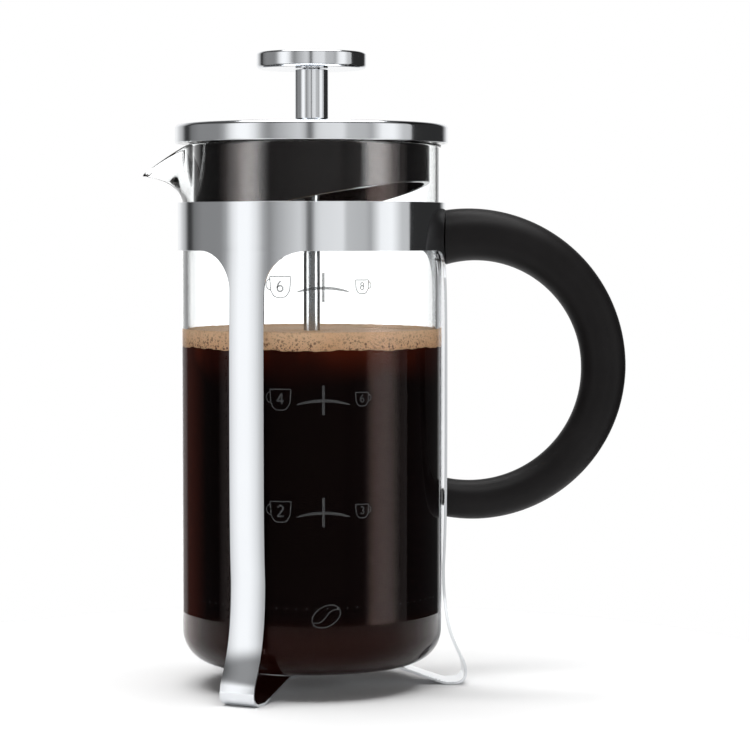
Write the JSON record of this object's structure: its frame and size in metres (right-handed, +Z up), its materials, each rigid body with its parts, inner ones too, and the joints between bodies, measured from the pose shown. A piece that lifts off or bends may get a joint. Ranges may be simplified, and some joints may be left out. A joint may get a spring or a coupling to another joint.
{
  "type": "french press",
  "caption": "French press: glass beaker with a pouring spout in a three-legged steel frame, round black handle, steel lid with a slanted plug, and a knob on a filter plunger.",
  "frame": {"origin": "on the table, in the middle of the box that holds the whole press", "axes": "+Z up along the beaker's axis, +X towards the handle, -X towards the spout; the beaker's axis is at x = -0.0279"},
  "size_m": [0.1862, 0.1102, 0.2427],
  "materials": {
    "polished_steel": "polished, with faint upright polishing lines",
    "satin_steel": "satin",
    "brass": "machined",
    "black_plastic": "moulded, fine satin grain",
    "clear_glass": "clear, with grey cup marks printed on the front"
  },
  "bodies": {
    "stand": {"frame": "polished_steel", "base_plate": "satin_steel", "base_rivet_1": "satin_steel", "base_rivet_2": "satin_steel", "base_rivet_3": "satin_steel", "handle": "black_plastic", "handle_peg": "satin_steel", "handle_screw": "satin_steel", "handle_insert": "brass"},
    "glass": {"beaker": "clear_glass"},
    "guide": {"lid_bush": "polished_steel", "lid_nut": "satin_steel"},
    "lid": {"lid_cap": "polished_steel", "lid_plug": "black_plastic"},
    "plunger": {"knob": "polished_steel", "knob_sleeve": "polished_steel", "plunger_rod": "polished_steel", "rod_washer": "satin_steel", "spring_disc": "satin_steel", "edge_spring": "polished_steel", "mesh_filter": "satin_steel", "cross_plate": "satin_steel", "hub_nut": "satin_steel"}
  },
  "joints": [
    {"name": "beaker_lift", "type": "slide", "parent": "stand", "child": "glass", "axis": [0, 0, 1], "range_m": [0, 0.19]},
    {"name": "lid_lift", "type": "slide", "parent": "glass", "child": "guide", "axis": [0, 0, 1], "range_m": [0, 0.19]},
    {"name": "lid_turn", "type": "hinge", "parent": "guide", "child": "lid", "pos_m": [-0.02855, 0, 0.2119], "axis": [0, 0, 1], "continuous": true},
    {"name": "plunger_slide", "type": "slide", "parent": "guide", "child": "plunger", "axis": [0, 0, 1], "range_m": [0, 0.135]}
  ]
}
